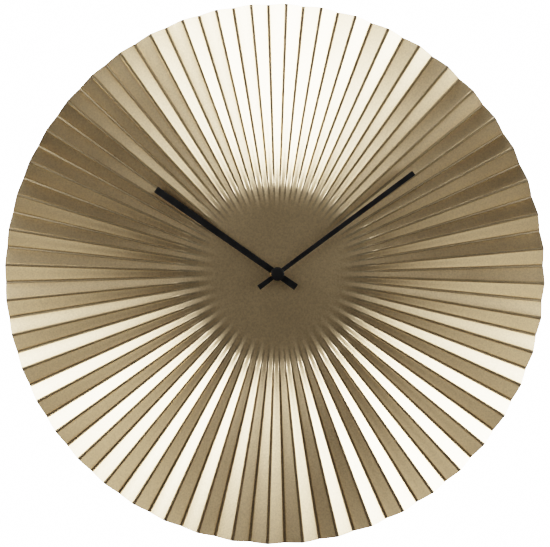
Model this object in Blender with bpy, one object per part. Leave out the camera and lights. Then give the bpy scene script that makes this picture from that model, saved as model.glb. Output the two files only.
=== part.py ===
"""Pleated sunburst wall clock with its quartz movement.

World frame: +X right and +Z up as seen from the front, which faces -Y.  The wall is the plane Y = 0
and the hands turn about the Y axis.  Lengths are in millimetres, and "stand" is the distance in
front of the wall.  Nearly every part is a pile of flat slabs, each with its own outline and holes.
"""
import math
import bpy
import bmesh
from mathutils import Vector
from mathutils.geometry import delaunay_2d_cdt

MM = 0.001

# Dial
DIAL_R = 250.0
PLEATS = 48
PLEAT_HALF_DEPTH = 4.5
FOLD_START_R = 62.0
RIDGE_AT = 5.5
DIAL_BACK = 19.4
DIAL_FRONT = 20.0
DIAL_HOLE_R = 4.4

# Hands, angles clockwise from twelve
HOUR_AT = 304.9
MINUTE_AT = 53.5
HOUR_HAND = (5.6, 136.0, 21.4)
MINUTE_HAND = (4.0, 157.0, 21.2)
CAP_R = 6.25
HAND_THICK = 0.6
HOUR_STAND = 25.5
MINUTE_STAND = 29.5
CAP_STAND = 30.4
CLOCK_DEPTH = 35.0

# Fixings, in order from the movement to the front: start and end stands
BUSH_FLANGE = (14.4, 15.0)
BUSH_END = 24.0
HANGER_PAD = (16.8, 18.0)
RUBBER_WASHER = (18.3, 19.1)
BRASS_WASHER = (20.3, 20.8)
NUT = (21.1, 23.1)
BUSH_R = 4.0
BUSH_BORE_R = 2.85
BUSH_CLEAR_R = 4.3
HANGER_TAB_THICK = 1.2
KEYHOLE_HEAD = (38.0, 4.6)
KEYHOLE_SLOT = (47.0, 2.3)

# Movement case
CASE = 28.0
WALL = 1.2
CAVITY = CASE - WALL
SPLIT_REAR = 11.0
SPLIT_FRONT = 11.3
CASE_FRONT = 16.5
BAY_TOP = -11.9
BULKHEAD_TOP = -10.9
SLOT_X = 25.9
SLOT_STAND = 5.9
POCKET_FLOOR = (2.4, 3.4)
CELL_Z = -19.35
CELL_STAND = 7.7
CELL_R = 7.1

# Hand arbors
HOUR_TUBE_R = 2.55
HOUR_TUBE_END = 26.8
ARBOR_R = 1.6
ARBOR_END = 30.8
STAFF_END = 30.5

# Wheel axes, as (x, z)
CENTRE = (0.0, 0.0)
FIFTH = (9.375 * math.cos(math.radians(30)), 9.375 * math.sin(math.radians(30)))
ROTOR = (FIFTH[0] + 6.8 * math.cos(math.radians(100)), FIFTH[1] + 6.8 * math.sin(math.radians(100)))
THIRD = (8.6 * math.cos(math.radians(140)), 8.6 * math.sin(math.radians(140)))
MOTION = (6.0 * math.cos(math.radians(210)), 6.0 * math.sin(math.radians(210)))
KNOB = (MOTION[0] - 6.0, MOTION[1])

# Tooth shape, in modules and shares of a tooth pitch
WHEEL_TOOTH = (0.85, 1.25, 0.22, 0.62)
PINION_TOOTH = (0.75, 1.25, 0.22, 0.62)


def circle(radius, count=32, at=CENTRE):
    points = []
    for k in range(count):
        angle = 2 * math.pi * (k + 0.5) / count
        points.append((at[0] + radius * math.cos(angle), at[1] + radius * math.sin(angle)))
    return points


def rect(x0, x1, z0, z1):
    return [(x0, z0), (x1, z0), (x1, z1), (x0, z1)]


def rounded_rect(x0, x1, z0, z1, radius, steps=4):
    points = []
    corners = ((x1 - radius, z1 - radius, 0), (x0 + radius, z1 - radius, 90),
               (x0 + radius, z0 + radius, 180), (x1 - radius, z0 + radius, 270))
    for cx, cz, start in corners:
        for k in range(steps + 1):
            angle = math.radians(start + 90 * k / steps)
            points.append((cx + radius * math.cos(angle), cz + radius * math.sin(angle)))
    return points


def gear(teeth, module, tooth, phase=0.0, at=CENTRE):
    """Outline of a spur gear with straight-sided teeth, one tooth centred on phase (radians)."""
    add, ded, tip, root = tooth
    tip_r = module * (teeth / 2 + add)
    root_r = module * (teeth / 2 - ded)
    half_pitch = math.pi / teeth
    points = []
    for k in range(teeth):
        middle = phase + 2 * half_pitch * k
        for r, share in ((root_r, -root), (tip_r, -tip), (tip_r, tip), (root_r, root)):
            angle = middle + share * half_pitch
            points.append((at[0] + r * math.cos(angle), at[1] + r * math.sin(angle)))
    return points


def mesh_phase(at1, teeth1, phase1, at2, teeth2):
    """Phase of gear 2 that puts its gap on gear 1's tooth."""
    line = math.atan2(at2[1] - at1[1], at2[0] - at1[0])
    return line + math.pi + (math.pi - (phase1 - line) * teeth1) / teeth2


def module_for(at1, at2, teeth1, teeth2):
    return 2 * math.hypot(at2[0] - at1[0], at2[1] - at1[1]) / (teeth1 + teeth2)


def inside(point, loop):
    hit = False
    x, z = point
    for k in range(len(loop)):
        x1, z1 = loop[k - 1]
        x2, z2 = loop[k]
        if (z1 > z) != (z2 > z) and x < (x2 - x1) * (z - z1) / (z2 - z1) + x1:
            hit = not hit
    return hit


def make_material(name, colour, metallic, roughness):
    material = bpy.data.materials.new(name)
    material.use_nodes = True
    shader = material.node_tree.nodes["Principled BSDF"]
    shader.inputs["Base Color"].default_value = (*colour, 1.0)
    shader.inputs["Metallic"].default_value = metallic
    shader.inputs["Roughness"].default_value = roughness
    material.diffuse_color = (*colour, 1.0)
    return material


def finish(name, bm, origin, material):
    """Close the mesh, turn its faces outward and make the object, its origin at (x, stand, z)."""
    bmesh.ops.remove_doubles(bm, verts=bm.verts, dist=1e-7)
    bmesh.ops.recalc_face_normals(bm, faces=bm.faces)
    base = Vector((origin[0] * MM, -origin[1] * MM, origin[2] * MM))
    for vert in bm.verts:
        vert.co -= base
    mesh = bpy.data.meshes.new(name)
    bm.to_mesh(mesh)
    bm.free()
    mesh.materials.append(material)
    item = bpy.data.objects.new(name, mesh)
    item.location = base
    bpy.context.scene.collection.objects.link(item)
    return item


def pile(name, slabs, material, origin=(0.0, 0.0, 0.0), along="stand"):
    """Solid made of slabs (start, end, loops), in order and touching.

    A point is solid where an odd number of the slab's loops go around it.  Loops are (x, z) points
    when the pile runs along "stand", and (z, stand) points when it runs along "x".
    """
    def world(point, height):
        if along == "stand":
            return (point[0] * MM, -height * MM, point[1] * MM)
        return (height * MM, -point[1] * MM, point[0] * MM)

    bm = bmesh.new()
    for i, (start, end, loops) in enumerate(slabs):
        for loop in loops:
            if i > 0 and loop in slabs[i - 1][2]:
                continue
            last = i
            while last + 1 < len(slabs) and loop in slabs[last + 1][2]:
                last += 1
            low = [bm.verts.new(world(p, start)) for p in loop]
            high = [bm.verts.new(world(p, slabs[last][1])) for p in loop]
            for k in range(len(loop)):
                bm.faces.new((low[k - 1], low[k], high[k], high[k - 1]))
    for k in range(len(slabs) + 1):
        before = slabs[k - 1][2] if k > 0 else []
        after = slabs[k][2] if k < len(slabs) else []
        height = slabs[k][0] if k < len(slabs) else slabs[-1][1]
        changed = [loop for loop in before if loop not in after]
        changed += [loop for loop in after if loop not in before]
        points = []
        edges = []
        for loop in changed:
            first = len(points)
            points += [Vector(p) for p in loop]
            edges += [(first + i, first + (i + 1) % len(loop)) for i in range(len(loop))]
        if not points:
            continue
        out = delaunay_2d_cdt(points, edges, [], 0, 1e-6)
        verts = [bm.verts.new(world(p, height)) for p in out[0]]
        for tri in out[2]:
            centre = sum((out[0][i] for i in tri), Vector((0.0, 0.0))) / 3
            if sum(inside(centre, loop) for loop in changed) % 2:
                bm.faces.new([verts[i] for i in tri])
    loose = [v for v in bm.verts if not v.link_faces]
    bmesh.ops.delete(bm, geom=loose, context="VERTS")
    return finish(name, bm, origin, material)


def dial_height(radius, place):
    """Rise of the sheet on a ridge (place +1) or in a valley (-1): straight from fold start to rim."""
    share = max(radius - FOLD_START_R, 0.0) / (DIAL_R - FOLD_START_R)
    return place * PLEAT_HALF_DEPTH * share


def pleated_dial(material):
    """Sheet with a flat middle, bent into ridges and valleys that grow towards the rim.

    Each facet twists a little, so front and back are cut into triangles along the same diagonals,
    which run from the ridge's inner end to the valley's outer end.
    """
    radii = (DIAL_HOLE_R, FOLD_START_R, 110.0, 170.0, DIAL_R)
    count = 2 * PLEATS
    bm = bmesh.new()
    rings = []
    for radius in radii:
        pair = []
        for face in (DIAL_BACK, DIAL_FRONT):
            ring = []
            for k in range(count):
                angle = math.radians(RIDGE_AT) + 2 * math.pi * k / count
                stand = face + dial_height(radius, 1 if k % 2 == 0 else -1)
                spot = (radius * math.cos(angle) * MM, -stand * MM, radius * math.sin(angle) * MM)
                ring.append(bm.verts.new(spot))
            pair.append(ring)
        rings.append(pair)
    for side in (0, 1):
        for inner, outer in zip(rings[:-1], rings[1:]):
            for k in range(count):
                n = (k + 1) % count
                a, b, c, d = (inner[side][k], inner[side][n], outer[side][n], outer[side][k])
                cut = ((a, b, c), (a, c, d)) if k % 2 == 0 else ((a, b, d), (b, c, d))
                for corners in cut:
                    bm.faces.new(corners)
    for ring in (rings[0], rings[-1]):
        for k in range(count):
            n = (k + 1) % count
            bm.faces.new((ring[0][k], ring[0][n], ring[1][n], ring[1][k]))
    return finish("pleated_dial", bm, (0, DIAL_BACK, 0), material)


def hand_outline(size, clockwise, hub_r):
    """Bar with flat ends and a round hub, pointing clockwise degrees from twelve."""
    width, tip, tail = size
    half = width / 2
    reach = math.sqrt(hub_r * hub_r - half * half)
    start = math.asin(half / hub_r)
    points = [(reach, -half), (tip, -half), (tip, half), (reach, half)]
    for k in range(1, 8):
        angle = start + (math.pi - 2 * start) * k / 8
        points.append((hub_r * math.cos(angle), hub_r * math.sin(angle)))
    points += [(-reach, half), (-tail, half), (-tail, -half), (-reach, -half)]
    for k in range(1, 8):
        angle = math.pi + start + (math.pi - 2 * start) * k / 8
        points.append((hub_r * math.cos(angle), hub_r * math.sin(angle)))
    turn = math.radians(90 - clockwise)
    c = math.cos(turn)
    s = math.sin(turn)
    return [(x * c - z * s, x * s + z * c) for x, z in points]


def hands_and_dial(gold, black):
    pleated_dial(gold)
    pile("hour_hand", [(HOUR_STAND, HOUR_STAND + HAND_THICK,
                        [hand_outline(HOUR_HAND, HOUR_AT, 5.5), circle(HOUR_TUBE_R + 0.2, 24)])],
         black, (0, HOUR_STAND, 0))
    pile("minute_hand", [(MINUTE_STAND, MINUTE_STAND + HAND_THICK,
                          [hand_outline(MINUTE_HAND, MINUTE_AT, 4.6), circle(ARBOR_R + 0.2, 24)])],
         black, (0, MINUTE_STAND, 0))
    pile("hand_cap", [(CAP_STAND, 31.4, [circle(CAP_R, 48), circle(ARBOR_R + 0.4, 24)]),
                      (31.4, 34.2, [circle(CAP_R, 48)]),
                      (34.2, 34.7, [circle(CAP_R - 0.3, 48)]),
                      (34.7, CLOCK_DEPTH, [circle(CAP_R - 0.9, 48)])], black, (0, CAP_STAND, 0))


def fixings(brass, steel, rubber):
    bore = circle(BUSH_BORE_R, 28)
    clear = circle(BUSH_CLEAR_R, 36)
    pile("threaded_bushing", [(*BUSH_FLANGE, [circle(6.0, 36), bore]),
                              (BUSH_FLANGE[1], BUSH_END, [circle(BUSH_R, 36), bore])], brass)
    corners = [(5.77 * math.cos(math.radians(60 * k)), 5.77 * math.sin(math.radians(60 * k)))
               for k in range(6)]
    pile("hex_nut", [(*NUT, [corners, clear])], brass)
    pile("brass_washer", [(*BRASS_WASHER, [circle(5.9, 36), clear])], brass)
    pile("rubber_washer", [(*RUBBER_WASHER, [circle(11.0, 36), clear])], rubber)
    tab = rounded_rect(-13.0, 13.0, 29.4, 53.0, 2.5)
    web = rect(-10.0, 10.0, 29.8, 31.0)
    pad = rounded_rect(-13.0, 13.0, -13.0, 31.4, 2.0)
    head_z, head_r = KEYHOLE_HEAD
    slot_z, slot_r = KEYHOLE_SLOT
    key = []
    for k in range(17):
        angle = math.radians(120 + 300 * k / 16)
        key.append((head_r * math.cos(angle), head_z + head_r * math.sin(angle)))
    for k in range(9):
        angle = math.radians(180 * k / 8)
        key.append((slot_r * math.cos(angle), slot_z + slot_r * math.sin(angle)))
    pile("hanger_bracket", [(0.0, HANGER_TAB_THICK, [tab, key]),
                            (HANGER_TAB_THICK, HANGER_PAD[0], [web]), (*HANGER_PAD, [pad, clear])],
         steel)


def case_halves(plastic):
    outer = rounded_rect(-CASE, CASE, -CASE, CASE, 2.0)
    bay = [(-CAVITY, -CAVITY), (CAVITY, -CAVITY), (CAVITY, BAY_TOP), (SLOT_X, BAY_TOP),
           (-SLOT_X, BAY_TOP), (-CAVITY, BAY_TOP)]
    room = [(-CAVITY, BULKHEAD_TOP), (-SLOT_X, BULKHEAD_TOP), (SLOT_X, BULKHEAD_TOP),
            (CAVITY, BULKHEAD_TOP), (CAVITY, CAVITY), (-CAVITY, CAVITY)]
    both = [(-CAVITY, -CAVITY), (CAVITY, -CAVITY), (CAVITY, BAY_TOP), (CAVITY, BULKHEAD_TOP),
            (CAVITY, CAVITY), (-CAVITY, CAVITY), (-CAVITY, BULKHEAD_TOP), (-CAVITY, BAY_TOP)]
    bulkhead = rect(-SLOT_X, SLOT_X, BAY_TOP, BULKHEAD_TOP)
    pocket = circle(6.7, 36, KNOB)
    pocket_wall = circle(7.6, 36, KNOB)
    shaft_hole = circle(1.3, 20, KNOB)
    # Round posts: (x, z), outer radius, pivot hole radius, top
    posts = [(CENTRE, 1.6, 0.65, 3.1), (FIFTH, 1.5, 0.55, 3.1), (ROTOR, 1.5, 0.55, 4.3),
             (THIRD, 1.5, 0.55, 3.1), ((-14.5, 13.2), 1.5, 0, 6.3), ((13.2, 13.2), 1.3, 0, 6.3),
             ((21.0, -6.0), 1.5, 0, 6.3), ((21.0, 13.0), 1.5, 0, 6.3), ((-24.0, 13.0), 1.5, 0, 8.5),
             ((-24.0, -8.0), 1.5, 0, 8.5), ((13.5, -8.2), 1.5, 0, 8.5)]
    tops = {top for at, radius, hole, top in posts}
    stands = sorted({0.0, WALL, *POCKET_FLOOR, SLOT_STAND, SPLIT_REAR} | tops)
    slabs = []
    for low, high in zip(stands[:-1], stands[1:]):
        loops = [outer]
        if low < WALL:
            loops += [bay, pocket]
        else:
            loops += [bay, room] if low < SLOT_STAND else [both, bulkhead]
            if high <= POCKET_FLOOR[0]:
                loops += [pocket_wall, pocket]
            elif high <= POCKET_FLOOR[1]:
                loops += [pocket_wall, shaft_hole]
            for at, radius, hole, top in posts:
                if high <= top:
                    loops.append(circle(radius, 16, at))
                    if hole:
                        loops.append(circle(hole, 12, at))
        slabs.append((low, high, loops))
    pile("rear_case", slabs, plastic)
    front = [(SPLIT_FRONT, 15.3, [outer, bay, room]), (15.3, CASE_FRONT, [outer, circle(BUSH_CLEAR_R, 36)])]
    pile("front_case", front, plastic)
    plate = rounded_rect(-26.4, 16.0, -10.5, 15.4, 1.5)
    holes = [circle(1.5, 24), circle(1.3, 20, KNOB)]
    holes += [circle(0.55, 12, at) for at in (FIFTH, ROTOR, THIRD)]
    pile("middle_plate", [(8.8, 9.8, [plate] + holes), (9.8, 13.8, [circle(0.45, 12, MOTION)])],
         plastic)


def wheels(brass, nylon, magnet, spring):
    at3 = (CENTRE[0], 3.8, CENTRE[1])
    m45 = module_for(CENTRE, FIFTH, 60, 15)
    m43 = module_for(CENTRE, THIRD, 8, 64)
    pile("fourth_wheel", [(1.5, 3.8, [circle(0.5, 16)]), (3.8, 4.4, [gear(60, m45, WHEEL_TOOTH)]),
                          (4.4, 6.3, [gear(8, m43, PINION_TOOTH)]), (6.3, STAFF_END, [circle(0.5, 16)])],
         nylon, at3)
    m5r = module_for(FIFTH, ROTOR, 60, 8)
    phase = mesh_phase(CENTRE, 60, 0.0, FIFTH, 15)
    pile("fifth_wheel", [(1.5, 3.5, [circle(0.4, 12, FIFTH)]),
                         (3.5, 5.0, [gear(15, m45, PINION_TOOTH, phase, FIFTH)]),
                         (5.0, 5.6, [gear(60, m5r, WHEEL_TOOTH, 0.0, FIFTH)]),
                         (5.6, 9.5, [circle(0.4, 12, FIFTH)])], nylon, (FIFTH[0], 3.5, FIFTH[1]))
    phase = mesh_phase(FIFTH, 60, 0.0, ROTOR, 8)
    pile("rotor", [(1.5, 4.7, [circle(0.4, 12, ROTOR)]),
                   (4.7, 5.9, [gear(8, m5r, PINION_TOOTH, phase, ROTOR)]),
                   (5.9, 6.2, [circle(0.4, 12, ROTOR)]), (6.2, 8.2, [circle(2.5, 28, ROTOR)]),
                   (8.2, 9.5, [circle(0.4, 12, ROTOR)])], magnet, (ROTOR[0], 4.7, ROTOR[1]))
    m3c = module_for(THIRD, CENTRE, 8, 60)
    phase = mesh_phase(CENTRE, 8, 0.0, THIRD, 64)
    pile("third_wheel", [(1.5, 5.4, [circle(0.4, 12, THIRD)]),
                         (5.4, 6.0, [gear(64, m43, WHEEL_TOOTH, phase, THIRD)]),
                         (6.0, 8.2, [gear(8, m3c, PINION_TOOTH, 0.0, THIRD)]),
                         (8.2, 9.5, [circle(0.4, 12, THIRD)])], nylon, (THIRD[0], 5.4, THIRD[1]))
    phase = mesh_phase(THIRD, 8, 0.0, CENTRE, 60)
    pile("centre_wheel", [(7.2, 7.8, [gear(60, m3c, WHEEL_TOOTH, phase), circle(1.4, 24)])],
         nylon, (0, 7.2, 0))
    star = []
    for k in range(24):
        angle = 2 * math.pi * k / 24
        reach = 4.6 if k % 8 in (0, 1) else 2.3
        star.append((reach * math.cos(angle), reach * math.sin(angle)))
    pile("clutch_spring", [(8.1, 8.4, [star, circle(1.4, 24)])], spring, (0, 8.1, 0))
    mm = module_for(CENTRE, MOTION, 12, 36)
    bore = circle(0.65, 16)
    pile("minute_arbor", [(6.6, 6.9, [circle(2.2, 28), bore]), (6.9, 10.1, [circle(1.1, 24), bore]),
                          (10.1, 11.8, [gear(12, mm, PINION_TOOTH), bore]),
                          (11.8, 12.1, [circle(1.1, 24), bore]),
                          (12.1, ARBOR_END, [circle(ARBOR_R, 24), bore])], brass, (0, 6.6, 0))
    mh = module_for(CENTRE, MOTION, 40, 10)
    phase = mesh_phase(CENTRE, 12, 0.0, MOTION, 36)
    bore = circle(0.6, 12, MOTION)
    pile("motion_wheel", [(10.5, 11.1, [gear(36, mm, WHEEL_TOOTH, phase, MOTION), bore]),
                          (11.1, 13.4, [gear(10, mh, PINION_TOOTH, 0.0, MOTION), bore])],
         nylon, (MOTION[0], 10.5, MOTION[1]))
    knob_phase = mesh_phase(MOTION, 36, phase, KNOB, 12)
    phase = mesh_phase(MOTION, 10, 0.0, CENTRE, 40)
    bore = circle(ARBOR_R + 0.2, 28)
    pile("hour_wheel", [(12.2, 12.8, [gear(40, mh, WHEEL_TOOTH, phase), bore]),
                        (12.8, HOUR_TUBE_END, [circle(HOUR_TUBE_R, 28), bore])], brass, (0, 12.2, 0))
    grip = gear(20, 0.55, (0.4, 0.4, 0.5, 0.8), 0.0, KNOB)
    pile("set_knob", [(0.5, 2.1, [grip]), (2.1, 10.3, [circle(1.0, 16, KNOB)]),
                      (10.3, 11.3, [gear(12, mm, PINION_TOOTH, knob_phase, KNOB)])],
         nylon, (KNOB[0], 0.5, KNOB[1]))


def motor_and_board(iron, copper, nylon, board, can, blob):
    fork = [(-17.0, 8.8), (2.8, 8.8), (3.8, 7.6), (11.0, 7.6), (12.0, 8.8), (15.0, 8.8),
            (15.0, 22.5), (10.0, 22.5), (10.0, 15.3), (-12.0, 15.3), (-12.0, 22.5), (-17.0, 22.5)]
    pile("stator_plate", [(6.6, 7.6, [fork, circle(2.9, 32, ROTOR)])], iron)
    core = rect(18.5, 21.5, 5.0, 6.2)
    pile("coil_core", [(-17.0, 15.0, [core])], iron, along="x")
    hole = rect(18.2, 21.8, 4.7, 6.5)
    tube = rounded_rect(17.6, 22.4, 4.1, 7.1, 0.4, 2)
    flange = rounded_rect(15.8, 24.2, 2.7, 8.5, 1.0, 3)
    pile("coil_bobbin", [(-11.6, -10.8, [flange, hole]), (-10.8, 8.8, [tube, hole]),
                         (8.8, 9.6, [flange, hole])], nylon, along="x")
    coil = rounded_rect(16.3, 23.7, 3.1, 8.1, 1.6, 5)
    pile("coil_winding", [(-10.5, 8.5, [coil, rounded_rect(17.3, 22.7, 3.8, 7.4, 0.4, 2)])],
         copper, along="x")
    pile("circuit_board", [(6.6, 7.6, [rounded_rect(16.5, 26.0, -9.0, 16.0, 0.5, 2)])], board)
    pile("quartz_crystal", [(18.0, 24.0, [circle(1.0, 20, (11.5, 8.9))])], can, along="x")
    pile("control_chip", [(7.9, 8.5, [circle(2.6, 28, (21.2, 2.0))]),
                          (8.5, 8.9, [circle(1.8, 28, (21.2, 2.0))])], blob)


def cell_and_contacts(steel, label):
    body = circle(CELL_R, 40, (CELL_Z, CELL_STAND))
    nub = circle(2.7, 24, (CELL_Z, CELL_STAND))
    pile("battery", [(-24.6, 24.9, [body]), (24.9, 25.9, [nub])], label,
         (0.0, CELL_STAND, CELL_Z), along="x")
    plus = [(-24.5, 3.0), (-12.8, 3.0), (-12.8, 6.2), (-6.0, 6.2), (-6.0, 8.0), (-12.8, 8.0),
            (-12.8, 12.6), (-24.5, 12.6)]
    pile("positive_contact", [(26.2, 26.6, [plus])], steel, along="x")
    minus = [(-24.5, 3.0), (-12.8, 3.0), (-12.8, 6.2), (-9.6, 6.2), (-9.6, 8.4), (-12.8, 8.4),
             (-12.8, 12.6), (-24.5, 12.6)]
    strip = rect(-10.4, -9.9, 6.5, 7.9)
    spring = circle(3.2, 24, (CELL_Z, CELL_STAND))
    pile("negative_contact", [(-26.6, -26.2, [minus]), (-26.2, -25.0, [strip, spring]),
                              (-25.0, 17.6, [strip])], steel, along="x")


for old in list(bpy.data.objects):
    bpy.data.objects.remove(old, do_unlink=True)

GOLD = make_material("gold_sheet", (0.62, 0.49, 0.30), 1.0, 0.34)
BLACK = make_material("black_paint", (0.012, 0.012, 0.013), 0.0, 0.45)
PLASTIC = make_material("black_plastic", (0.02, 0.02, 0.022), 0.0, 0.55)
NYLON = make_material("white_nylon", (0.75, 0.74, 0.70), 0.0, 0.45)
BRASS = make_material("brass", (0.72, 0.52, 0.22), 1.0, 0.3)
STEEL = make_material("zinc_steel", (0.55, 0.56, 0.58), 1.0, 0.35)
IRON = make_material("soft_iron", (0.35, 0.35, 0.37), 1.0, 0.45)
MAGNET = make_material("magnet_plastic", (0.05, 0.05, 0.055), 0.0, 0.5)
COPPER = make_material("copper_wire", (0.60, 0.24, 0.10), 1.0, 0.35)
BOARD = make_material("board_green", (0.03, 0.16, 0.07), 0.0, 0.5)
RUBBER = make_material("rubber", (0.015, 0.015, 0.015), 0.0, 0.85)
BLOB = make_material("chip_resin", (0.01, 0.01, 0.01), 0.0, 0.25)
LABEL = make_material("cell_label", (0.10, 0.16, 0.30), 0.2, 0.35)

hands_and_dial(GOLD, BLACK)
fixings(BRASS, STEEL, RUBBER)
case_halves(PLASTIC)
wheels(BRASS, NYLON, MAGNET, STEEL)
motor_and_board(IRON, COPPER, NYLON, BOARD, STEEL, BLOB)
cell_and_contacts(STEEL, LABEL)
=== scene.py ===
"""Looks of a pleated sunburst wall clock: a folded brass-coloured sheet, black hands and a movement.

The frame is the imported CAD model, in metres: +X right and +Z up as seen from the front, and the front
faces -Y.  The wall would be the plane Y = 0, and "stand" is the distance in front of it.
"""
import math

import bmesh
import bpy
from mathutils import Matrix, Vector


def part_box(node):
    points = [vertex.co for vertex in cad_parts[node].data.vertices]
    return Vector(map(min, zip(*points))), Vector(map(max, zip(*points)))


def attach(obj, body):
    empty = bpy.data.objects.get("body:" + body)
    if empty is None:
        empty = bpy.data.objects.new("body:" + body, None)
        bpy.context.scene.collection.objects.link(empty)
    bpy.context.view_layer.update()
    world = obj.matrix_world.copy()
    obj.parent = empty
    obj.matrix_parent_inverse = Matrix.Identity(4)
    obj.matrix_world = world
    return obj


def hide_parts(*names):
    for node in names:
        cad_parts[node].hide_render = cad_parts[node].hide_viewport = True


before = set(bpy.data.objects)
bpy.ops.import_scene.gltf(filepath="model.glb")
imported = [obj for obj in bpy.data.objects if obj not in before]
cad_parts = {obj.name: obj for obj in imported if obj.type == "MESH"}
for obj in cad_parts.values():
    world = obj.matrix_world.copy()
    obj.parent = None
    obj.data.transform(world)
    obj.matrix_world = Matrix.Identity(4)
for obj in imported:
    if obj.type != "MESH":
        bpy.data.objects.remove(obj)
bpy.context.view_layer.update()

MM = 0.001

# Dial sheet: its size comes from the frame, its folds are spaced round it
DIAL_LOW, DIAL_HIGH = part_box("pleated_dial")
DIAL_R = DIAL_HIGH.x
SHEET = 0.6 * MM
SHEET_MIDDLE = -(DIAL_LOW.y + DIAL_HIGH.y) / 2
FOLD_HALF_DEPTH = (DIAL_HIGH.y - DIAL_LOW.y - SHEET) / 2
PLEATS = 48
FOLDS = 2 * PLEATS
FIRST_RIDGE = math.radians(5.5)
FOLD_START_R = 62 * MM
FOLD_EASE = 8 * MM
DIAL_HOLE_R = 4.4 * MM
RIM_ROUND = 0.25 * MM
RING_RADII_MM = (50, 54, 57, 60, 63, 66, 69, 72, 78, 86, 96, 110, 126, 145, 165, 185, 205, 225, 238)

# Fold lines: a flat land in the middle and a steep flank on both sides, narrower near the middle
FOLD_LAND = 0.84 * MM
FOLD_FLANK = 1.46 * MM
FOLD_EASING = 0.12 * MM
FOLD_NARROWEST = 0.7
FLANK_SLOPE = 1.45
FLANK_FROM = 78 * MM
FLANK_TO = 104 * MM
PAST_ANY_FACET = 100 * MM

# Painted shade along each fold line, darkening the sheet's own colour: its strength at the ten points that
# one fold has on a ring
FOLD_PAINTED_SHADE = (0.66, 0.68, 0.72)
FOLD_SHADE_FROM = 62 * MM
FOLD_SHADE_TO = 86 * MM
FOLD_SHADE_PROFILE = (0.0, 0.7, 1.0, 1.0, 1.0, 1.0, 1.0, 0.7, 0.0, 0.0)
PER_FOLD = len(FOLD_SHADE_PROFILE)

# Hands: clock angles in degrees, and the widening of each side, outside the hub and off the middle line
HOUR_AT = 304.9
MINUTE_AT = 53.5
HAND_EDGE = 0.12 * MM
HAND_EXTRA = 0.35 * MM
HAND_CORE = 0.5 * MM
HUB_R = 6.0 * MM

# Welding, flattening and rounding of shapes
CAD_WELD = 0.001 * MM
PIECE_WELD = 0.0001 * MM
FLAT_WITHIN = math.radians(0.5)
SHARP_FROM = math.radians(30.0)
CRISP_FROM = math.radians(50.0)
EDGE_STEPS = 2
ROUND_STEPS = 4
FLAT_LEAD = 90
WIRE_STEPS = 2

# Bush through the dial
BUSH_R = 4.0 * MM
BUSH_BORE_R = 2.85 * MM
BUSH_FLANGE_R = 6.0 * MM
BUSH_FLANGE_THICK = 0.6 * MM
BUSH_FLANGE_EDGE = 0.2 * MM
BUSH_FLANGE_BEVEL = 0.15 * MM
BUSH_SIDES = 48
THREAD_PITCH = 0.75 * MM
THREAD_DEPTH = 0.3 * MM
THREAD_ROWS = 8

# Cell: its sleeve, and the outline of its steel can in mm.  The foot and the shoulder go in from the
# cell's radius, the root and the tip go out from the raised contact's radius.
NUB_LENGTH = 1.0 * MM
NUB_R = 2.7 * MM
SLEEVE_START = 0.3 * MM
SLEEVE_STOP = 0.25 * MM
SLEEVE_LIP = 0.05 * MM
SLEEVE_CRIMP = 1.0 * MM
SLEEVE_EDGE = 0.55 * MM
CAN_EYE = 0.3 * MM
CAN_FOOT = ((0.0, 2.6), (0.35, 2.2), (0.35, 1.6), (0.1, 1.2), (0.3, 0.8))
CAN_SHOULDER = ((-0.25, 0.8), (0.0, 1.5), (-0.3, 2.2))
NUB_ROOT = ((-0.1, 0.7), (0.2, 0.1))
NUB_TIP = ((-0.35, 0.0), (-0.1, -0.15), (0.0, -0.5))

# Contact coil
COIL_WIRE_R = 0.22 * MM
COIL_WIDE_R = 4.6 * MM
COIL_NARROW_R = 2.2 * MM
COIL_TURNS = 2.5
COIL_STEPS = 90
COIL_FOOT = 0.75 * MM
COIL_GAP = 0.05 * MM

# Case clips
CLIP_AT = 15.0 * MM
CLIP_OUT = 0.7 * MM
CLIP_DOWN = 4.0 * MM
CLIP_UP = 1.6 * MM
CLIP_HALF = 2.5 * MM
CLIP_EDGE = 0.12 * MM

# Marks on the knob, as (height over its face, radius) in mm
KNOB_RING = ((-0.1, 3.4), (0.15, 3.5), (0.2, 3.6), (0.2, 3.9), (0.15, 4.0), (-0.1, 4.1))
KNOB_CENTRE = ((-0.1, 0.1), (-0.1, 1.1), (0.12, 1.05), (0.2, 0.9), (0.2, 0.1))

# Finishes
GOLD_TONE = (0.81, 0.645, 0.422)
GOLD_VARY = 0.10
GOLD_GRAIN = 620.0
GOLD_CLOUD = 26.0
GOLD_ROUGH = (0.285, 0.305)
BLACK_SHEEN = 0.3
CLOUD_SHARE = 0.06
WIRE_TONE = (0.60, 0.24, 0.10)
WIRE_BANDS = 1500.0
SLEEVE_HALF = 25 * MM
SLEEVE_BLUE = (0.055, 0.10, 0.22)
SLEEVE_PALE = (0.62, 0.62, 0.60)

# Camera: the half frame is half the width that the picture covers at the dial
CAMERA_AT = Vector((-0.088, -1.7, 0.004))
HALF_FRAME = 0.2546
DIAL_SHIFT = Vector((-0.0032, 0.0008))
SENSOR = 36.0

# Studio: the white glow is only what the camera sees behind the clock, the room glow lights it
FLOOR_Z = -0.95
FLOOR_HALF = 2.6
FLOOR_BACK = 2.3
FLOOR_DARK = (0.66, 0.66, 0.66)
FLOOR_LIGHT = (0.70, 0.70, 0.70)
WHITE_GLOW = 13.0
ROOM_GLOW = 0.046
HOT_MIDDLE = 1.5
SOFT_EDGE = 0.7
LIGHT_TINT = (1.0, 0.972, 0.935)
FILL_TINT = (1.0, 0.945, 0.86)


def new_object(name, shape, material):
    """Object in the scene from a mesh or a curve, with one material."""
    item = bpy.data.objects.new(name, shape)
    bpy.context.scene.collection.objects.link(item)
    shape.materials.clear()
    shape.materials.append(material)
    return item


# ---------------------------------------------------------------- materials


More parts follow.
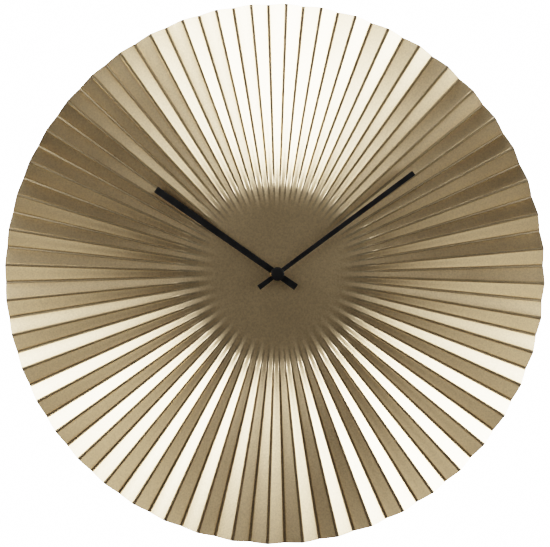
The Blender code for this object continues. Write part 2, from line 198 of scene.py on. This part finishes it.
class Nodes:
    """Small helper around a material's node tree."""

    def __init__(self, name):
        self.material = bpy.data.materials.new(name)
        self.material.use_nodes = True
        self.tree = self.material.node_tree
        self.shader = self.tree.nodes["Principled BSDF"]
        self.place = None

    def add(self, kind, **values):
        """New node; a value goes to its property of that name, or else to its input."""
        node = self.tree.nodes.new(kind)
        for key, value in values.items():
            if hasattr(node, key):
                setattr(node, key, value)
            else:
                node.inputs[key.replace("_", " ")].default_value = value
        return node

    def link(self, source, target):
        self.tree.links.new(source, target)

    def object_place(self):
        """Place on the object's own axes, shared by the textures of a material."""
        if self.place is None:
            self.place = self.add("ShaderNodeTexCoord").outputs["Object"]
        return self.place

    def noise(self, scale, detail, roughness):
        node = self.add("ShaderNodeTexNoise", Scale=scale, Detail=detail, Roughness=roughness)
        self.link(self.object_place(), node.inputs["Vector"])
        return node.outputs["Fac"]

    def ramp(self, source, *stops):
        """Colour ramp from (position, colour) stops."""
        node = self.add("ShaderNodeValToRGB")
        ramp = node.color_ramp
        for k, (position, colour) in enumerate(stops):
            stop = ramp.elements[k] if k < 2 else ramp.elements.new(position)
            stop.position = position
            stop.color = (*colour, 1.0)
        self.link(source, node.inputs["Fac"])
        return node.outputs["Color"]

    def tinted(self, colour, tint):
        """Product of two colours."""
        node = self.add("ShaderNodeMix", data_type="RGBA", blend_type="MULTIPLY")
        node.inputs["Factor"].default_value = 1.0
        first, second = (socket for socket in node.inputs if socket.type == "RGBA")
        self.link(colour, first)
        self.link(tint, second)
        return next(socket for socket in node.outputs if socket.type == "RGBA")

    def between(self, source, low, high, start=0.3, end=0.7):
        """Moves a value's range from start and end to low and high."""
        node = self.add("ShaderNodeMapRange")
        node.inputs["From Min"].default_value = start
        node.inputs["From Max"].default_value = end
        node.inputs["To Min"].default_value = low
        node.inputs["To Max"].default_value = high
        self.link(source, node.inputs["Value"])
        return node.outputs["Result"]

    def bump(self, source, distance, strength):
        node = self.add("ShaderNodeBump", Strength=strength, Distance=distance)
        self.link(source, node.inputs["Height"])
        return node.outputs["Normal"]

    def set(self, **values):
        """Sets the shader's own sockets, each from a node's output or a plain value."""
        for key, value in values.items():
            socket = self.shader.inputs[key.replace("_", " ")]
            if isinstance(value, bpy.types.NodeSocket):
                self.link(value, socket)
            else:
                socket.default_value = value


def shades(colour, amount):
    """Two versions of a colour, darker and lighter by a share."""
    dark = tuple(c * (1 - amount) for c in colour)
    light = tuple(min(c * (1 + amount), 1.0) for c in colour)
    return dark, light


def gold_material():
    """Brass-coloured anodised sheet: a fine grain, and painted shade as a darker line along each fold."""
    n = Nodes("gold_sheet")
    grain = n.noise(GOLD_GRAIN, 2.0, 0.6)
    cloud = n.noise(GOLD_CLOUD, 3.0, 0.55)
    dark, light = shades(GOLD_TONE, GOLD_VARY)
    # Painted shade: the fold attribute darkens the base colour along each fold line
    fold_painted_shade = n.add("ShaderNodeAttribute", attribute_name="fold_painted_shade").outputs["Fac"]
    gold = n.ramp(grain, (0.32, dark), (0.68, light))
    fold_shade_tint = n.ramp(fold_painted_shade, (0.0, (1.0, 1.0, 1.0)), (1.0, FOLD_PAINTED_SHADE))
    n.set(Base_Color=n.tinted(gold, fold_shade_tint), Metallic=1.0,
          Roughness=n.between(cloud, *GOLD_ROUGH), Normal=n.bump(grain, 0.05 * MM, 0.6))
    return n.material


def plain_material(name, colour, metallic, roughness, scale=900.0, depth=0.02, vary=0.12, spread=0.05):
    """Moulded or plated finish: soft clouds in colour and gloss, and a fine grain in its surface.

    scale is the grain's, depth its height in mm, vary the share that the colour changes by and spread
    the amount that the roughness changes by.
    """
    n = Nodes(name)
    grain = n.noise(scale, 4.0, 0.55)
    cloud = n.noise(scale * CLOUD_SHARE, 2.0, 0.5)
    dark, light = shades(colour, vary)
    n.set(Base_Color=n.ramp(cloud, (0.35, dark), (0.65, light)), Metallic=metallic,
          Roughness=n.between(cloud, roughness - spread, roughness + spread),
          Normal=n.bump(grain, depth * MM, 0.5))
    return n.material


def winding_material():
    """Enamelled copper wire: close turns along the coil in its bump and colour, with painted shade
    darkening the colour where they touch.
    """
    n = Nodes("copper_wire")
    turns = n.add("ShaderNodeTexWave", Scale=WIRE_BANDS, Distortion=0.4, Detail=1.0)
    turns.bands_direction = "X"
    n.link(n.object_place(), turns.inputs["Vector"])
    dark, light = shades(WIRE_TONE, 0.35)
    n.set(Base_Color=n.ramp(turns.outputs["Fac"], (0.1, dark), (0.8, light)), Metallic=1.0,
          Roughness=0.35, Normal=n.bump(turns.outputs["Fac"], 0.05 * MM, 0.8))
    return n.material


def sleeve_material():
    """Plain printed sleeve of the cell: blue, with a pale band near its positive end."""
    n = Nodes("cell_label")
    split = n.add("ShaderNodeSeparateXYZ")
    n.link(n.object_place(), split.inputs["Vector"])
    grain = n.noise(500.0, 3.0, 0.5)
    lengthwise = n.between(split.outputs["X"], 0.0, 1.0, -SLEEVE_HALF, SLEEVE_HALF)
    colour = n.ramp(lengthwise, (0.0, SLEEVE_BLUE), (0.74, SLEEVE_BLUE), (0.745, SLEEVE_PALE),
                    (0.85, SLEEVE_PALE), (0.855, SLEEVE_BLUE))
    n.set(Base_Color=colour, Metallic=0.0, Roughness=n.between(grain, 0.26, 0.36),
          Normal=n.bump(grain, 0.02 * MM, 0.4))
    return n.material


# ---------------------------------------------------------------- dial


def fold_rise(radius):
    """Half the height from valley to ridge at a radius, eased in where the folds begin."""
    run = radius - FOLD_START_R
    if run <= -FOLD_EASE:
        return 0.0
    if run < FOLD_EASE:
        run = (run + FOLD_EASE) ** 2 / (4 * FOLD_EASE)
    return FOLD_HALF_DEPTH * run / (DIAL_R - FOLD_START_R)


def facet_width(radius):
    """Distance from one fold line to the next, along the arc."""
    return 2 * math.pi * radius / FOLDS


def facet_slope(radius):
    """Slope of a plain facet across the radius."""
    return 2 * fold_rise(radius) / facet_width(radius)


def fold_press(radius, start=FLANK_FROM, full=FLANK_TO):
    """How hard the fold is pressed: nothing near the middle, full further out."""
    share = min(max((radius - start) / (full - start), 0.0), 1.0)
    return share * share * (3 - 2 * share)


def flank_slope(radius):
    """Slope of the narrow steep strips on both sides of a pressed fold line."""
    slope = facet_slope(radius)
    return slope + (FLANK_SLOPE - slope) * fold_press(radius)


def fold_widths(radius):
    """Where the land starts to bend, the flank starts, the flank ends and the facet starts."""
    out = max(radius - FOLD_START_R, 0.0) / (DIAL_R - FOLD_START_R)
    share = FOLD_NARROWEST + (1 - FOLD_NARROWEST) * out
    land = FOLD_LAND * share
    flank = FOLD_FLANK * share
    easing = FOLD_EASING * share
    return land, land + easing, flank, flank + easing


def fold_fall(across, radius):
    """Fall from the middle of a fold line to a point across it: flat land, steep flank, facet."""
    slope = facet_slope(radius)
    steep = flank_slope(radius)
    stations = (0.0, *fold_widths(radius), PAST_ANY_FACET)
    slopes = (0.0, 0.0, steep, steep, slope, slope)
    fall = 0.0
    for k in range(len(stations) - 1):
        start = stations[k]
        end = stations[k + 1]
        reach = min(max(across - start, 0.0), end - start)
        share = reach / (end - start)
        fall += reach * (slopes[k] + (slopes[k + 1] - slopes[k]) * share / 2)
    return fall


def sheet_rise(angle, radius):
    """Height of the sheet's middle over the dial's plane."""
    turn = (angle - FIRST_RIDGE) / (2 * math.pi / FOLDS)
    fold = round(turn)
    width = facet_width(radius)
    fall = fold_fall(abs(turn - fold) * width, radius)
    rise = fold_fall(width / 2, radius) - fall
    return rise if fold % 2 == 0 else -rise


def sheet_point(angle, radius, side):
    """Point on the front (side 1), the back (side -1) or the middle (side 0) of the sheet."""
    stand = SHEET_MIDDLE + sheet_rise(angle, radius) + side * SHEET / 2
    return Vector((radius * math.cos(angle), -stand, radius * math.sin(angle)))


def sheet_normal(angle, radius, side):
    """Normal of the smooth sheet, from its slope along and across the radius."""
    step = 0.02 * MM
    turn = step / radius
    out = sheet_point(angle, radius + step, 0) - sheet_point(angle, radius - step, 0)
    along = sheet_point(angle + turn, radius, 0) - sheet_point(angle - turn, radius, 0)
    return out.cross(along).normalized() * side


def dial_stations(radius):
    """Angles round one ring: nine across each fold and one in the middle of each facet."""
    step = 2 * math.pi / FOLDS
    half = [width / radius for width in fold_widths(radius)]
    angles = []
    for k in range(FOLDS):
        fold = FIRST_RIDGE + k * step
        angles += [fold - width for width in reversed(half)]
        angles.append(fold)
        angles += [fold + width for width in half]
        angles.append(fold + step / 2)
    return angles


class Sheet:
    """Points, corner normals, strengths of the painted shade along the folds, and faces of the dial, laid
    down ring by ring.
    """

    def __init__(self):
        self.points = []
        self.normals = []
        self.painted_fold_shades = []
        self.faces = []

    def ring(self, angles, radius, side):
        """One ring on the front (side 1), the back (side -1) or the rim (side 0)."""
        first = len(self.points)
        # Painted shade along the folds, growing from nothing near the middle to full further out
        fold_shade_share = fold_press(radius, FOLD_SHADE_FROM, FOLD_SHADE_TO)
        for k, angle in enumerate(angles):
            self.points.append(sheet_point(angle, radius, side))
            self.painted_fold_shades.append(FOLD_SHADE_PROFILE[k % PER_FOLD] * fold_shade_share)
            if side:
                self.normals.append(sheet_normal(angle, radius, side))
            else:
                self.normals.append(Vector((math.cos(angle), 0.0, math.sin(angle))))
        return [first + k for k in range(len(angles))]

    def face(self, corners, side):
        """Face given as seen from the front; on the back its corners run the other way."""
        self.faces.append(corners if side == 1 else corners[::-1])

    def strip(self, inner, outer, side):
        """Faces between two rings."""
        for k in range(len(inner)):
            n = (k + 1) % len(inner)
            self.face((inner[k], outer[k], outer[n], inner[n]), side)

    def middle(self, hole, ring, side):
        """Faces between the hole, which has one point per fold, and the first ring."""
        for k in range(FOLDS):
            first = PER_FOLD * k
            for a in range(first, first + PER_FOLD):
                self.face((hole[k], ring[a], ring[(a + 1) % len(ring)]), side)
            end = ring[(first + PER_FOLD) % len(ring)]
            self.face((hole[k], end, hole[(k + 1) % FOLDS]), side)


def dial_side(sheet, rim, side):
    """Front or back of the dial, from the hole out to the rim; returns the ring round the hole."""
    radii = [r * MM for r in RING_RADII_MM] + [DIAL_R - RIM_ROUND]
    rings = [sheet.ring(dial_stations(radius), radius, side) for radius in radii]
    around = [2 * math.pi * k / FOLDS + FIRST_RIDGE for k in range(FOLDS)]
    hole = sheet.ring(around, DIAL_HOLE_R, side)
    for inner, outer in zip(rings[:-1], rings[1:]):
        sheet.strip(inner, outer, side)
    sheet.strip(rings[-1], rim, side)
    sheet.middle(hole, rings[0], side)
    return hole


def corner_normals(mesh, sheet, wall):
    """Normals at every corner: the smooth sheet's, or towards the axis from face number wall on."""
    normals = []
    for polygon in mesh.polygons:
        for index in polygon.vertices:
            spot = sheet.points[index]
            inward = Vector((-spot.x, 0.0, -spot.z)).normalized()
            normals.append(inward if polygon.index >= wall else sheet.normals[index])
    return normals


def dial_mesh():
    """Front and back of the sheet with its rounded rim and the hole in the middle."""
    sheet = Sheet()
    rim = sheet.ring(dial_stations(DIAL_R), DIAL_R, 0)
    front = dial_side(sheet, rim, 1)
    back = dial_side(sheet, rim, -1)
    wall = len(sheet.faces)
    for k in range(FOLDS):
        n = (k + 1) % FOLDS
        sheet.faces.append((front[k], front[n], back[n], back[k]))
    mesh = bpy.data.meshes.new("dial_sheet")
    mesh.from_pydata(sheet.points, [], sheet.faces)
    mesh.polygons.foreach_set("use_smooth", [True] * len(mesh.polygons))
    # Point attribute holding the strength of the painted shade along the folds
    fold_painted_shade = mesh.attributes.new("fold_painted_shade", "FLOAT", "POINT")
    fold_painted_shade.data.foreach_set("value", sheet.painted_fold_shades)
    mesh.normals_split_custom_set(corner_normals(mesh, sheet, wall))
    return mesh


def build_dial(material):
    """The pleated sheet, standing for the CAD dial."""
    dial = new_object("dial_sheet", dial_mesh(), material)
    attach(dial, "clock")
    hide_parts("pleated_dial")


# ---------------------------------------------------------------- softened CAD shapes


def mesh_from(bm, name, smooth=True):
    """Turns a finished bmesh into a mesh."""
    mesh = bpy.data.meshes.new(name)
    bm.to_mesh(mesh)
    bm.free()
    mesh.polygons.foreach_set("use_smooth", [smooth] * len(mesh.polygons))
    return mesh


def round_edges(bm, edges, width):
    """Rounds edges of a bmesh."""
    bmesh.ops.bevel(bm, geom=edges, offset=width, offset_type="OFFSET", segments=EDGE_STEPS,
                    profile=0.5, affect="EDGES", clamp_overlap=True)


def widen(item, clockwise, extra):
    """Widens a bar hand by extra on each side of its middle line; clockwise is where it points."""
    turn = math.radians(clockwise)
    side = Vector((math.cos(turn), 0.0, -math.sin(turn)))
    ahead = Vector((math.sin(turn), 0.0, math.cos(turn)))
    for vertex in item.data.vertices:
        off = vertex.co.dot(side)
        if abs(off) > HAND_CORE and abs(vertex.co.dot(ahead)) > HUB_R:
            vertex.co += side * math.copysign(extra, off)


def softened(node, name, body, material, width):
    """A CAD shape with its flat faces joined and its edges rounded, standing for the CAD node."""
    bm = bmesh.new()
    bm.from_mesh(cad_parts[node].data)
    bmesh.ops.remove_doubles(bm, verts=bm.verts, dist=CAD_WELD)
    bmesh.ops.dissolve_limit(bm, angle_limit=FLAT_WITHIN, verts=bm.verts, edges=bm.edges)
    sharp = [e for e in bm.edges if e.is_manifold and e.calc_face_angle() > SHARP_FROM]
    round_edges(bm, sharp, width)
    item = new_object(name, mesh_from(bm, name), material)
    weigh = item.modifiers.new("flat_faces_lead", "WEIGHTED_NORMAL")
    weigh.weight = FLAT_LEAD
    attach(item, body)
    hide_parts(node)
    return item


def repaint(nodes, material):
    """Gives CAD nodes that stay hidden in the case a better finish."""
    for name in nodes:
        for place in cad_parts[name].material_slots:
            place.link = "OBJECT"
            place.material = material


# ---------------------------------------------------------------- turned and bent pieces


def piece(name, points, faces, body, material, smooth=True):
    """Mesh piece from points and faces, its faces turned outward, riding on a body."""
    bm = bmesh.new()
    verts = [bm.verts.new(point) for point in points]
    for corners in faces:
        bm.faces.new([verts[k] for k in corners])
    bmesh.ops.remove_doubles(bm, verts=bm.verts, dist=PIECE_WELD)
    bmesh.ops.recalc_face_normals(bm, faces=bm.faces)
    item = new_object(name, mesh_from(bm, name, smooth), material)
    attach(item, body)
    return item


def tube_faces(rings, count):
    """Faces between rings of count points; each ring is given by the number of its first point."""
    faces = []
    for a, b in zip(rings[:-1], rings[1:]):
        for k in range(count):
            n = (k + 1) % count
            faces.append((a + k, a + n, b + n, b + k))
    return faces


def turned(name, profile, start, along, across, body, material, count=64, closed=False):
    """Lathe shape from (distance along, radius) points; an open profile gets a flat face at each end."""
    up = along.cross(across)
    points = []
    for way, radius in profile:
        for k in range(count):
            angle = 2 * math.pi * k / count
            points.append(start + along * way + radius * (across * math.cos(angle) + up * math.sin(angle)))
    rings = [j * count for j in range(len(profile))]
    if closed:
        faces = tube_faces(rings + [0], count)
    else:
        faces = tube_faces(rings, count)
        faces.append(tuple(range(count)))
        faces.append(tuple(rings[-1] + k for k in range(count)))
    item = piece(name, points, faces, body, material)
    split = item.modifiers.new("crisp_edges", "EDGE_SPLIT")
    split.split_angle = CRISP_FROM
    return item


def wire(name, spine, radius, body, material):
    """Round wire along a line of points."""
    curve = bpy.data.curves.new(name, "CURVE")
    curve.dimensions = "3D"
    curve.bevel_depth = radius
    curve.bevel_resolution = WIRE_STEPS
    curve.use_fill_caps = True
    line = curve.splines.new("POLY")
    line.points.add(len(spine) - 1)
    for place, spot in zip(line.points, spine):
        place.co = (*spot, 1.0)
    item = new_object(name, curve, material)
    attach(item, body)


def rounded_profile(start, end, radius, edge):
    """Lathe profile of a disc from start to end with both rims rounded."""
    points = [(start, radius - edge)]
    for k in range(1, ROUND_STEPS + 1):
        turn = math.pi / 2 * k / ROUND_STEPS
        points.append((start + edge * (1 - math.cos(turn)), radius - edge * (1 - math.sin(turn))))
    for k in range(ROUND_STEPS + 1):
        turn = math.pi / 2 * k / ROUND_STEPS
        points.append((end - edge * (1 - math.sin(turn)), radius - edge * (1 - math.cos(turn))))
    return points


# ---------------------------------------------------------------- movement and fixings


def bush_spot(radius, stand, k):
    """Point k on a circle round the clock's axis."""
    angle = 2 * math.pi * k / BUSH_SIDES
    return Vector((radius * math.cos(angle), -stand, radius * math.sin(angle)))


def thread_points(start, front, rows):
    """Helical thread from the flange to the front end, where it fades to its root."""
    points = []
    for j in range(rows + 1):
        stand = start + (front - start) * j / rows
        fade = min((front - stand) / THREAD_PITCH, 1.0)
        for k in range(BUSH_SIDES):
            turn = (stand / THREAD_PITCH - k / BUSH_SIDES) % 1.0
            dip = THREAD_DEPTH * abs(2 * turn - 1) * fade + THREAD_DEPTH * (1 - fade)
            points.append(bush_spot(BUSH_R - dip, stand, k))
    return points


def build_bushing(material):
    """Threaded tube with its flange: the thread is a real helix round the tube."""
    low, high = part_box("threaded_bushing")
    back = -high.y
    front = -low.y
    rows = int((front - back - BUSH_FLANGE_THICK) / THREAD_PITCH * THREAD_ROWS)
    points = thread_points(back + BUSH_FLANGE_THICK, front, rows)
    plain = ((BUSH_BORE_R, front), (BUSH_BORE_R, back), (BUSH_FLANGE_R - BUSH_FLANGE_EDGE, back),
             (BUSH_FLANGE_R, back + BUSH_FLANGE_BEVEL), (BUSH_FLANGE_R, back + BUSH_FLANGE_THICK))
    for radius, stand in plain:
        points += [bush_spot(radius, stand, k) for k in range(BUSH_SIDES)]
    rings = list(range(0, len(points), BUSH_SIDES))
    faces = tube_faces(rings + [0], BUSH_SIDES)
    bushing = piece("bushing_threaded", points, faces, "clock", material, smooth=False)
    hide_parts("threaded_bushing")


def build_battery(sleeve, steel):
    """Round cell: printed sleeve, crimped steel ends and the raised contact."""
    low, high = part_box("battery")
    radius = (high.z - low.z) / 2
    start = Vector((low.x, (low.y + high.y) / 2, (low.z + high.z) / 2))
    length = high.x - low.x
    shoulder = length - NUB_LENGTH
    along = Vector((1.0, 0.0, 0.0))
    across = Vector((0.0, 0.0, 1.0))
    body = [(SLEEVE_START - SLEEVE_LIP, radius - SLEEVE_CRIMP)]
    body += rounded_profile(SLEEVE_START, shoulder - SLEEVE_STOP, radius, SLEEVE_EDGE)
    body.append((shoulder - SLEEVE_STOP + SLEEVE_LIP, radius - SLEEVE_CRIMP))
    cell = turned("cell_sleeve", body, start, along, across, "cell", sleeve)
    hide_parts("battery")
    can = [(0.0, CAN_EYE)]
    can += [(way * MM, radius - into * MM) for way, into in CAN_FOOT]
    can += [(shoulder + way * MM, radius - into * MM) for way, into in CAN_SHOULDER]
    can += [(shoulder + way * MM, NUB_R + out * MM) for way, out in NUB_ROOT]
    can += [(length + way * MM, NUB_R + out * MM) for way, out in NUB_TIP]
    can.append((length, CAN_EYE))
    turned("cell_can", can, start, along, across, "cell", steel)


def build_contact_coil(material):
    """Conical spring wound from the negative contact's plate towards the cell."""
    plate_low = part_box("negative_contact")[0]
    cell_low, cell_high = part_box("battery")
    middle_y = (cell_low.y + cell_high.y) / 2
    middle_z = (cell_low.z + cell_high.z) / 2
    start = plate_low.x + COIL_FOOT
    end = cell_low.x - COIL_WIRE_R - COIL_GAP
    spine = []
    for k in range(COIL_STEPS + 1):
        share = k / COIL_STEPS
        angle = 2 * math.pi * COIL_TURNS * share
        r = COIL_WIDE_R + (COIL_NARROW_R - COIL_WIDE_R) * share
        spine.append(Vector((start + (end - start) * share, middle_y + r * math.cos(angle),
                             middle_z + r * math.sin(angle))))
    wire("contact_coil", spine, COIL_WIRE_R, "clock", material)


def build_clip(name, edge, side, seam, z, material):
    """One snap clip: a tapered block on a side wall of the case, across the seam."""
    out = edge + side * CLIP_OUT
    outline = ((edge, seam - CLIP_DOWN), (out, seam - CLIP_DOWN + CLIP_OUT), (out, seam + CLIP_UP),
               (edge, seam + CLIP_UP + CLIP_OUT))
    bm = bmesh.new()
    low_end, high_end = [[bm.verts.new((x, -stand, z + half)) for x, stand in outline]
                         for half in (-CLIP_HALF, CLIP_HALF)]
    for k in range(len(outline)):
        n = (k + 1) % len(outline)
        bm.faces.new((low_end[k], low_end[n], high_end[n], high_end[k]))
    bm.faces.new(low_end)
    bm.faces.new(high_end)
    bmesh.ops.recalc_face_normals(bm, faces=bm.faces)
    round_edges(bm, list(bm.edges), CLIP_EDGE)
    item = new_object(name, mesh_from(bm, name), material)
    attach(item, "clock")


def build_clips(material):
    """Snap clips that hold the two case halves together across their seam."""
    low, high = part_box("rear_case")
    seam = -low.y
    for word, side, edge in (("left", -1, low.x), ("right", 1, high.x)):
        for k, z in enumerate((-CLIP_AT, CLIP_AT)):
            build_clip("case_clip_%s_%d" % (word, k + 1), edge, side, seam, z, material)


def build_knob_marks(material):
    """Raised ring and round centre moulded on the face of the time-setting knob."""
    low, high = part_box("set_knob")
    middle = Vector(((low.x + high.x) / 2, high.y, (low.z + high.z) / 2))
    along = Vector((0.0, 1.0, 0.0))
    across = Vector((1.0, 0.0, 0.0))
    ring = [(way * MM, radius * MM) for way, radius in KNOB_RING]
    turned("knob_ring", ring, middle, along, across, "knob", material, 48, closed=True)
    dot = [(way * MM, radius * MM) for way, radius in KNOB_CENTRE]
    turned("knob_centre", dot, middle, along, across, "knob", material, 32)


def build_movement():
    """Everything behind and through the dial; the last value of a softened shape is its edge width."""
    softened("rear_case", "case_back", "clock", PLASTIC, 0.25 * MM)
    softened("front_case", "case_front", "clock", PLASTIC, 0.3 * MM)
    softened("hex_nut", "nut_brass", "clock", BRASS, 0.25 * MM)
    softened("brass_washer", "washer_brass", "clock", BRASS, 0.1 * MM)
    softened("rubber_washer", "washer_rubber", "clock", RUBBER, 0.15 * MM)
    softened("hanger_bracket", "hanger_plate", "clock", STEEL, 0.18 * MM)
    softened("set_knob", "knob_nylon", "knob", NYLON, 0.12 * MM)
    softened("positive_contact", "contact_plus", "clock", STEEL, 0.08 * MM)
    softened("negative_contact", "contact_minus", "clock", STEEL, 0.08 * MM)
    build_bushing(BRASS)
    build_battery(SLEEVE, STEEL)
    build_contact_coil(STEEL)
    build_clips(PLASTIC)
    build_knob_marks(NYLON)
    repaint(("minute_arbor", "hour_wheel"), BRASS)
    repaint(("clutch_spring", "quartz_crystal"), STEEL)
    repaint(("fourth_wheel", "fifth_wheel", "third_wheel", "centre_wheel", "motion_wheel", "coil_bobbin"),
            NYLON)
    repaint(("stator_plate", "coil_core"), IRON)
    repaint(("rotor",), MAGNET)
    repaint(("coil_winding",), COPPER)
    repaint(("circuit_board",), BOARD)
    repaint(("control_chip",), RESIN)
    repaint(("middle_plate",), PLASTIC)


# ---------------------------------------------------------------- studio


def aim(item, target):
    """Points a light or the camera at a place."""
    item.rotation_euler = (target - item.location).to_track_quat("-Z", "Y").to_euler()


def soft_light(name, azimuth, elevation, distance, size, edge, glow, tint=LIGHT_TINT):
    """Rectangular studio light with a hot middle and faded edges, aimed at the middle of the dial.

    Azimuth is to the right of the clock's own axis and elevation above it, in degrees.  size is the
    width and height half way down the fade, and edge is half the width of the fade.
    """
    a = math.radians(azimuth)
    e = math.radians(elevation)
    data = bpy.data.lights.new(name, "AREA")
    data.shape = "RECTANGLE"
    data.size = size[0] + 2 * edge
    data.size_y = size[1] + 2 * edge
    data.energy = glow * math.pi * data.size * data.size_y
    data.color = tint
    fade_light(data, edge)
    light = bpy.data.objects.new(name, data)
    light.location = distance * Vector((math.sin(a) * math.cos(e), -math.cos(a) * math.cos(e), math.sin(e)))
    aim(light, Vector((0.0, 0.0, 0.0)))
    light.visible_camera = False
    bpy.context.scene.collection.objects.link(light)


def light_math(tree, operation, *values):
    """Math node in a light's tree; each value is a socket or a number."""
    node = tree.nodes.new("ShaderNodeMath")
    node.operation = operation
    for socket, value in zip(node.inputs, values):
        if isinstance(value, bpy.types.NodeSocket):
            tree.links.new(value, socket)
        else:
            socket.default_value = value
    return node.outputs[0]


def fade_light(data, edge):
    """Nodes that fade a rectangular light over twice the edge, along both sides, with a hot middle."""
    data.use_nodes = True
    tree = data.node_tree
    place = tree.nodes.new("ShaderNodeNewGeometry")
    split = tree.nodes.new("ShaderNodeSeparateXYZ")
    tree.links.new(place.outputs["Parametric"], split.inputs["Vector"])
    fades = []
    for axis, length in (("X", data.size), ("Y", data.size_y)):
        from_middle = light_math(tree, "SUBTRACT", split.outputs[axis], 0.5)
        away = light_math(tree, "ABSOLUTE", from_middle)
        fade = tree.nodes.new("ShaderNodeMapRange")
        fade.interpolation_type = "SMOOTHSTEP"
        fade.inputs["From Min"].default_value = 0.5 - 2 * edge / length
        fade.inputs["From Max"].default_value = 0.5
        fade.inputs["To Min"].default_value = 1.0
        fade.inputs["To Max"].default_value = 0.0
        tree.links.new(away, fade.inputs["Value"])
        fades.append(fade.outputs["Result"])
    both = light_math(tree, "MULTIPLY", *fades)
    square = light_math(tree, "MULTIPLY", both, both)
    hot = light_math(tree, "MULTIPLY_ADD", square, HOT_MIDDLE, SOFT_EDGE)
    glow = light_math(tree, "MULTIPLY", both, hot)
    tree.links.new(glow, tree.nodes["Emission"].inputs["Strength"])


def build_world():
    """Plain white behind the clock for the camera, and a dim room for everything else."""
    world = bpy.data.worlds.new("studio")
    world.use_nodes = True
    tree = world.node_tree
    tree.nodes.clear()
    out = tree.nodes.new("ShaderNodeOutputWorld")
    mix = tree.nodes.new("ShaderNodeMixShader")
    path = tree.nodes.new("ShaderNodeLightPath")
    room = tree.nodes.new("ShaderNodeBackground")
    room.inputs["Color"].default_value = (1.0, 1.0, 1.0, 1.0)
    room.inputs["Strength"].default_value = ROOM_GLOW
    paper = tree.nodes.new("ShaderNodeBackground")
    paper.inputs["Color"].default_value = (1.0, 1.0, 1.0, 1.0)
    paper.inputs["Strength"].default_value = WHITE_GLOW
    tree.links.new(path.outputs["Is Camera Ray"], mix.inputs["Fac"])
    tree.links.new(room.outputs["Background"], mix.inputs[1])
    tree.links.new(paper.outputs["Background"], mix.inputs[2])
    tree.links.new(mix.outputs["Shader"], out.inputs["Surface"])
    bpy.context.scene.world = world


def build_floor():
    """Pale floor below the clock, left out of reflections."""
    n = Nodes("pale_floor")
    fine = n.noise(60.0, 3.0, 0.5)
    n.set(Base_Color=n.ramp(fine, (0.3, FLOOR_DARK), (0.7, FLOOR_LIGHT)),
          Roughness=0.7, Normal=n.bump(fine, 0.2 * MM, 0.3))
    places = ((-FLOOR_HALF, -FLOOR_HALF), (FLOOR_HALF, -FLOOR_HALF), (FLOOR_HALF, FLOOR_BACK),
              (-FLOOR_HALF, FLOOR_BACK))
    bm = bmesh.new()
    bm.faces.new([bm.verts.new((x, y, FLOOR_Z)) for x, y in places])
    floor = new_object("floor", mesh_from(bm, "floor", smooth=False), n.material)
    floor.visible_glossy = False


def build_lights():
    """Boxes to the left and right, a strip and a far box up left, dim fills below, two lights behind."""
    soft_light("left_box", -42.5, 9.5, 1.75, (0.79, 0.63), 0.30, 6.0)
    soft_light("left_strip", -50.5, 25.5, 0.80, (0.27, 0.08), 0.31, 32.0)
    soft_light("right_box", 60.5, 15.5, 1.08, (0.77, 0.86), 0.27, 6.0)
    soft_light("top_left_box", -85.0, 72.0, 2.11, (0.61, 1.33), 0.20, 3.6)
    soft_light("low_left_fill", -49.5, -58.0, 0.80, (0.60, 0.46), 0.22, 0.43, FILL_TINT)
    soft_light("low_right_fill", 42.0, -55.5, 0.80, (0.67, 0.54), 0.26, 0.39, FILL_TINT)
    soft_light("behind_left", -150.0, 25.0, 1.60, (0.80, 0.80), 0.20, 1.6)
    soft_light("behind_right", 145.0, 35.0, 1.60, (0.80, 0.80), 0.20, 2.2)


def build_camera():
    """Camera in front of the dial, level and a little to the left of its axis."""
    data = bpy.data.cameras.new("camera")
    data.sensor_width = SENSOR
    camera = bpy.data.objects.new("camera", data)
    bpy.context.scene.collection.objects.link(camera)
    centre = Vector((0.0, -SHEET_MIDDLE, 0.0))
    camera.location = CAMERA_AT
    aim(camera, centre)
    data.lens = SENSOR / 2 * (CAMERA_AT - centre).length / HALF_FRAME
    data.shift_x = DIAL_SHIFT.x
    data.shift_y = DIAL_SHIFT.y
    bpy.context.scene.camera = camera


def set_view():
    """How the lit scene turns into picture tones."""
    view = bpy.context.scene.view_settings
    view.view_transform = "Filmic"
    view.look = "High Contrast"
    view.exposure = 0.0
    view.gamma = 1.0


# ---------------------------------------------------------------- the whole clock

set_view()
build_camera()
build_world()
build_lights()
build_floor()

GOLD = gold_material()
BLACK = plain_material("black_paint", (0.003, 0.003, 0.0035), 0.0, 0.42, 1500.0, 0.01)
BLACK.node_tree.nodes["Principled BSDF"].inputs["Specular IOR Level"].default_value = BLACK_SHEEN
PLASTIC = plain_material("black_plastic", (0.020, 0.020, 0.022), 0.0, 0.5, 1300.0, 0.03)
BRASS = plain_material("brass", (0.72, 0.50, 0.21), 1.0, 0.28)
STEEL = plain_material("zinc_steel", (0.55, 0.56, 0.58), 1.0, 0.34)
RUBBER = plain_material("rubber", (0.02, 0.02, 0.02), 0.0, 0.8)
NYLON = plain_material("white_nylon", (0.74, 0.73, 0.69), 0.0, 0.42, 900.0, 0.02, 0.04)
IRON = plain_material("soft_iron", (0.36, 0.36, 0.38), 1.0, 0.42, 1200.0, 0.02)
MAGNET = plain_material("magnet_plastic", (0.05, 0.05, 0.055), 0.0, 0.5)
COPPER = winding_material()
BOARD = plain_material("board_green", (0.03, 0.16, 0.07), 0.0, 0.45, 800.0, 0.02, 0.2)
RESIN = plain_material("chip_resin", (0.012, 0.012, 0.012), 0.0, 0.28, 500.0, 0.02)
SLEEVE = sleeve_material()

build_dial(GOLD)
hour_hand = softened("hour_hand", "hour_hand_black", "hour", BLACK, HAND_EDGE)
minute_hand = softened("minute_hand", "minute_hand_black", "minute", BLACK, HAND_EDGE)
widen(hour_hand, HOUR_AT, HAND_EXTRA)
widen(minute_hand, MINUTE_AT, HAND_EXTRA)
softened("hand_cap", "hand_cap_black", "minute", BLACK, HAND_EDGE)
build_movement()
